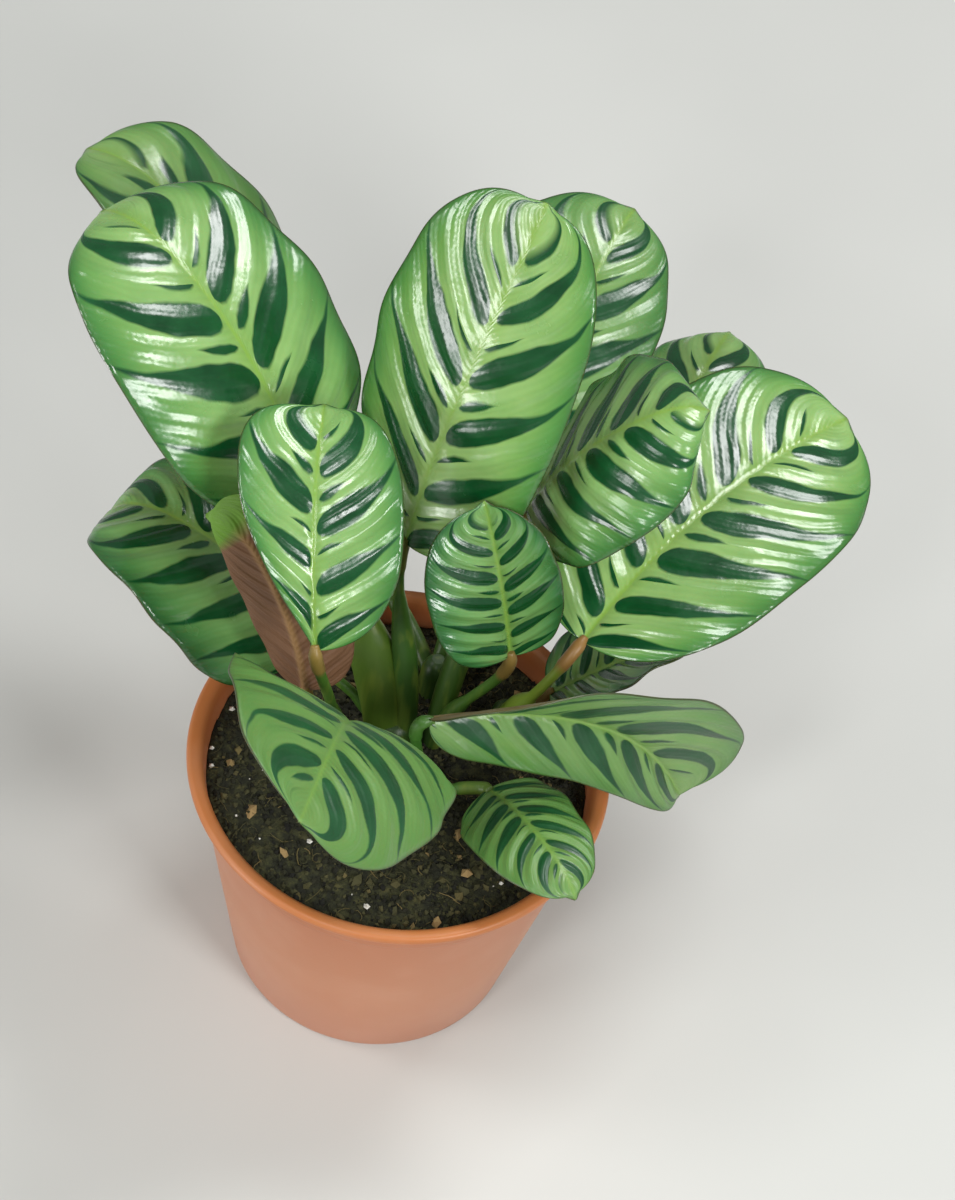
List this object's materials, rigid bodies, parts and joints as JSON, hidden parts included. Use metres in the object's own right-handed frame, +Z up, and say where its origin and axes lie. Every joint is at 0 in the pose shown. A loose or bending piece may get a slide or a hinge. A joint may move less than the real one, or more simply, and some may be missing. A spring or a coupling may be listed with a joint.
{
  "type": "potted calathea",
  "caption": "Young calathea house plant with broad dark-striped leaves on slim stalks, growing in a round tapered plastic nursery pot filled with soil.",
  "frame": {"origin": "centre of the pot's underside, on the surface that it rests on", "axes": "+Z up along the pot's axis, -Y towards the viewer of the picture, +X to the viewer's right"},
  "size_m": [0.2325, 0.2421, 0.2592],
  "materials": {
    "terracotta_plastic": "satin",
    "soil": "matte",
    "leaf": "gloss",
    "stem": "satin"
  },
  "bodies": {
    "root": {"pot": "terracotta_plastic", "soil": "soil", "stems_main": "stem", "stems_left": "stem", "stems_centre": "stem", "stems_right": "stem", "stems_back": "stem", "stems_front": "stem", "stems_low": "stem", "leaf_back_left": "leaf", "leaf_upper_left": "leaf", "leaf_top": "leaf", "leaf_back_top": "leaf", "leaf_centre_left": "leaf", "leaf_centre_right": "leaf", "leaf_back_right": "leaf", "leaf_right": "leaf", "leaf_centre": "leaf", "leaf_left": "leaf", "leaf_turned": "leaf", "leaf_front_left": "leaf", "leaf_tucked": "leaf", "leaf_low_right": "leaf", "leaf_front_right": "leaf"}
  },
  "joints": []
}
